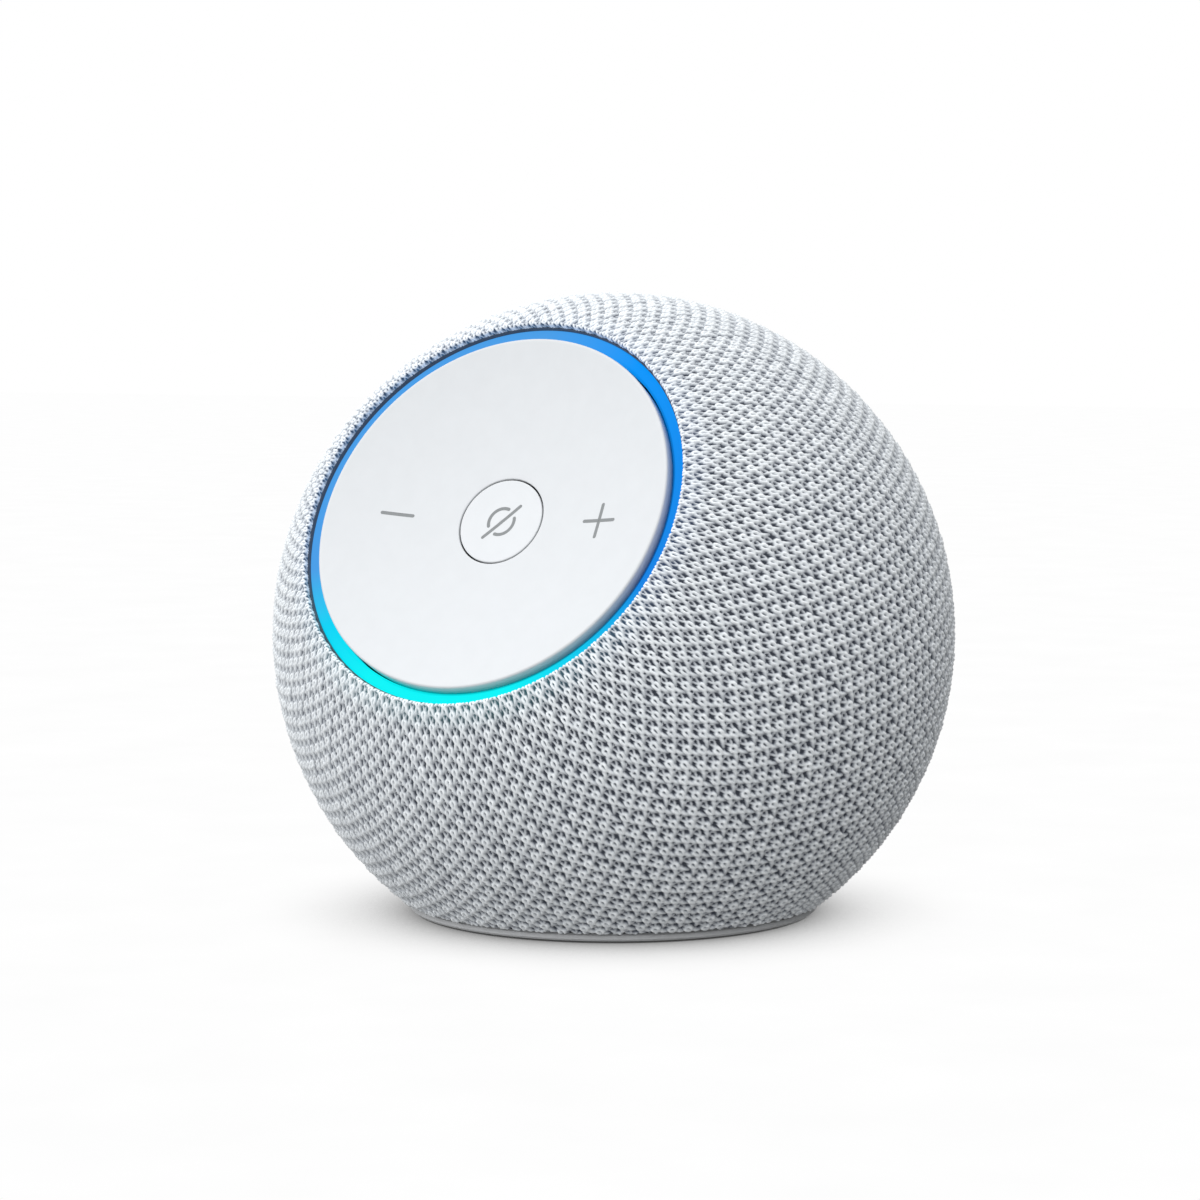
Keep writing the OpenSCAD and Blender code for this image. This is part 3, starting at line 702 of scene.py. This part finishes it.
def bow(radius, start, end, steps=28):
    """Points along a round stroke about the middle of the face."""
    return [(MM * radius * math.cos(t), MM * radius * math.sin(t))
            for t in np.radians(np.linspace(start, end, steps))]


def white_plastic(name, colour):
    """Satin white moulded plastic: faint unevenness, a very fine grain."""
    made = grained(name, colour, 0.5, 0.012, 350, 0.004 * MM)
    shader = made.node_tree.nodes["Principled BSDF"]
    shader.inputs["Specular IOR Level"].default_value = 0.25
    shader.inputs["Coat Weight"].default_value = 0.03
    shader.inputs["Coat Roughness"].default_value = 0.4
    return made


# The light's colours, and the angles they sit at: from the right-hand side, counted up the face.
SOFT_BLUE, SKY_BLUE, CYAN = srgb(75, 158, 230), srgb(8, 210, 244), srgb(5, 245, 246)
DEEP_BLUE, AZURE = srgb(22, 130, 226), srgb(5, 150, 250)
RING_COLOURS = [
    (-180, SOFT_BLUE), (-160, SOFT_BLUE), (-140, SKY_BLUE), (-115, CYAN), (-70, CYAN),
    (-20, DEEP_BLUE), (55, AZURE), (90, SOFT_BLUE), (180, SOFT_BLUE),
]


def dot_with(tree, vector, axis):
    """The vector's length along an axis."""
    node = tree.nodes.new("ShaderNodeVectorMath")
    node.operation = "DOT_PRODUCT"
    node.inputs[1].default_value = axis
    tree.links.new(vector, node.inputs[0])
    return node.outputs["Value"]


def ring_colour(tree):
    """The light's colour by the angle round the face: blue, with cyan at the bottom."""
    coords = tree.nodes.new("ShaderNodeTexCoord")
    from_centre = tree.nodes.new("ShaderNodeVectorMath")
    from_centre.operation = "SUBTRACT"
    from_centre.inputs[1].default_value = BALL_CENTRE
    tree.links.new(coords.outputs["Object"], from_centre.inputs[0])
    angle = tree.nodes.new("ShaderNodeMath")
    angle.operation = "ARCTAN2"
    tree.links.new(dot_with(tree, from_centre.outputs["Vector"], UP_FACE), angle.inputs[0])
    tree.links.new(dot_with(tree, from_centre.outputs["Vector"], ACROSS), angle.inputs[1])
    turn = tree.nodes.new("ShaderNodeMapRange")
    turn.inputs["From Min"].default_value = -math.pi
    turn.inputs["From Max"].default_value = math.pi
    tree.links.new(angle.outputs["Value"], turn.inputs["Value"])
    stops = [((degrees + 180) / 360, colour) for degrees, colour in RING_COLOURS]
    return ramp(tree, turn.outputs["Result"], stops)


def ring_material():
    """Glowing diffuser; its sunken sides stay dark, and ring_lit adds painted shade along its inner edge on
    the lower right.
    """
    made, tree, shader = new_material("ring_glow")
    glow = ring_colour(tree)
    lit = tree.nodes.new("ShaderNodeAttribute")
    lit.attribute_name = "ring_lit"
    mix = tree.nodes.new("ShaderNodeMix")
    mix.data_type = "RGBA"
    # dark navy where the ring is unlit, which also serves as the painted shade of the gap at its inner edge
    mix.inputs["A"].default_value = srgb(4, 12, 60)
    tree.links.new(lit.outputs["Fac"], mix.inputs["Factor"])
    tree.links.new(glow.outputs["Color"], mix.inputs["B"])
    tree.links.new(mix.outputs["Result"], shader.inputs["Emission Color"])
    grain = noise(tree, 1500)
    shade = ramp(tree, grain.outputs["Fac"], [(0.3, srgb(4, 10, 30)), (0.7, srgb(7, 16, 44))])
    tree.links.new(shade.outputs["Color"], shader.inputs["Base Color"])
    shader.inputs["Emission Strength"].default_value = 1.0
    shader.inputs["Roughness"].default_value = 0.45
    shader.inputs["Specular IOR Level"].default_value = 0.02
    return made


def ring_lit(points):
    """How brightly each point of the ring shines: less at its outer edge, not at all on its sides, with
    painted shade along its inner edge on the lower right, where the gap beside the panel lies in shadow.
    """
    side_depth, side_blend = 0.4 * MM, 0.1 * MM
    outer_loss, outer_blend = 0.5, 0.2 * MM
    inner_painted_shade, inner_width, inner_blend = 0.6, 0.45 * MM, 0.25 * MM
    lower_right = 0.9 * ACROSS - 0.44 * UP_FACE
    rel = points - BALL_CENTRE
    above = (rel @ OUT - (RING_W - side_depth)) / side_blend
    off_axis = np.hypot(rel @ ACROSS, rel @ UP_FACE)
    outer_edge = outer_loss * smooth_step((off_axis - RING_LIT_R) / outer_blend)
    to_lower_right = np.clip(rel @ lower_right / off_axis, 0, 1)
    # painted shade: the gap between the panel and the ring, on the side away from the light
    near_panel = smooth_step((RING_INNER_R + inner_width - off_axis) / inner_blend)
    return np.clip(above, 0, 1) * (1 - outer_edge) * (1 - inner_painted_shade * to_lower_right * near_panel)


def make_panel():
    """The dished panel."""
    panel = face_lathe("face_panel", panel_profile())
    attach(panel, "root")
    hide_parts("front_panel")
    panel.data.materials.append(white_plastic("panel_white", srgb(201, 203, 205)))


def make_button():
    """The mute button's cap."""
    button = face_lathe("mute_button_cap", button_profile(), 160)
    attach(button, "mute_button")
    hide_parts("mute_button")
    button.data.materials.append(white_plastic("button_white", srgb(205, 207, 209)))


def make_ring():
    """The light ring round the panel."""
    ring = face_lathe("light_ring_lens", ring_profile(), 360)
    add_number(ring, "ring_lit", ring_lit(mesh_points(ring)))
    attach(ring, "root")
    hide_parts("light_ring")
    ring.data.materials.append(ring_material())


def make_marks():
    """The printed minus, plus and struck-out circle."""
    ink = grained("mark_ink", srgb(122, 125, 126), 0.6, 0.05, 2500, 0.002 * MM)
    minus = mark("mark_minus", [straight(-20.45, -0.1, -15.35, -0.1)], 0.56 * MM)
    plus = mark("mark_plus", [straight(15.1, 0, 20.5, 0), straight(17.85, -2.7, 17.85, 2.65)], 0.56 * MM)
    mute = mark(
        "mark_mute",
        [straight(-2.46, -2.79, 2.63, 2.65), bow(2.2, 71, 203), bow(2.2, -105, 17)],
        0.54 * MM,
    )
    for piece, body in ((minus, "root"), (plus, "root"), (mute, "mute_button")):
        piece.data.materials.append(ink)
        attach(piece, body)


# ---------------------------------------------------------------- materials for the CAD parts
def dress_cad_parts():
    """Gives every carried-over CAD node the material of its slot."""
    looks = {
        "housing_plastic": grained("housing_grey", srgb(80, 84, 92), 0.6, 0.08, 1200),
        "base_plastic": grained("base_grey", srgb(170, 171, 172), 0.45, 0.05, 1500),
        "foot_rubber": grained("foot_rubber", srgb(58, 60, 64), 0.85, 0.12, 1800),
        "panel_plastic": white_plastic("panel_inner", srgb(236, 238, 240)),
        "button_plastic": white_plastic("button_inner", srgb(236, 238, 240)),
        "film": grained("touch_film", srgb(170, 140, 70), 0.4, 0.1, 700),
        "black_plastic": grained("black_plastic", srgb(28, 29, 31), 0.5, 0.15, 1500),
        "bracket_plastic": grained("bracket_grey", srgb(110, 112, 116), 0.6, 0.08, 1500),
        "steel": grained("zinc_steel", srgb(170, 172, 175), 0.35, 0.1, 2500, 0.01 * MM, 1.0),
        "circuit_board": grained("board_green", srgb(24, 84, 52), 0.45, 0.2, 1200),
        "led_lens": grained("led_yellow", srgb(232, 220, 150), 0.3, 0.06, 2500),
        "foam": grained("foam_grey", srgb(70, 70, 72), 0.95, 0.3, 4000, 0.1 * MM),
        "contact_brass": grained("brass", srgb(200, 165, 90), 0.3, 0.1, 2500, 0.01 * MM, 1.0),
        "cone_paper": grained("cone_paper", srgb(42, 42, 44), 0.85, 0.3, 1600, 0.06 * MM),
        "surround_rubber": grained("surround_rubber", srgb(30, 30, 32), 0.6, 0.15, 1500),
        "spider_cloth": grained("spider_cloth", srgb(206, 160, 80), 0.9, 0.25, 3500, 0.08 * MM),
        "coil_copper": grained("coil_copper", srgb(196, 112, 66), 0.35, 0.15, 4000, 0.03 * MM, 1.0),
        "ferrite": grained("ferrite", srgb(52, 52, 55), 0.7, 0.2, 1500),
        "magnet_steel": grained("plated_steel", srgb(150, 152, 156), 0.35, 0.08, 1500, 0.01 * MM, 1.0),
        "dome_silk": grained("dome_silk", srgb(60, 58, 60), 0.7, 0.25, 5000, 0.03 * MM),
        "wire_black": grained("wire_black", srgb(30, 30, 30), 0.5, 0.15, 2500),
        "wire_red": grained("wire_red", srgb(170, 30, 30), 0.5, 0.15, 2500),
        "wire_blue": grained("wire_blue", srgb(40, 80, 160), 0.5, 0.15, 2500),
        "chip_resin": grained("chip_resin", srgb(34, 34, 37), 0.6, 0.15, 3000),
        "connector_nylon": grained("connector_nylon", srgb(225, 220, 205), 0.5, 0.05, 2500),
        "thermal_gel": grained("thermal_gel", srgb(120, 150, 190), 0.7, 0.1, 1500),
        "aluminium": grained("aluminium", srgb(190, 192, 196), 0.4, 0.06, 1800, 0.02 * MM, 1.0),
        "antenna_board": grained("antenna_board", srgb(30, 52, 96), 0.5, 0.15, 1500),
    }
    for part in frame["record"]["subparts"]:
        if part["material_slot"] in looks:
            node = frame["nodes"][part["node"]]
            node.data.materials.clear()
            node.data.materials.append(looks[part["material_slot"]])


look_from_photo()
studio()
dress_cad_parts()
make_panel()
make_button()
make_ring()
make_marks()
cover = knit_cover()
cover.data.materials.append(knit_material())
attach(cover, "root")
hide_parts("fabric_cover")
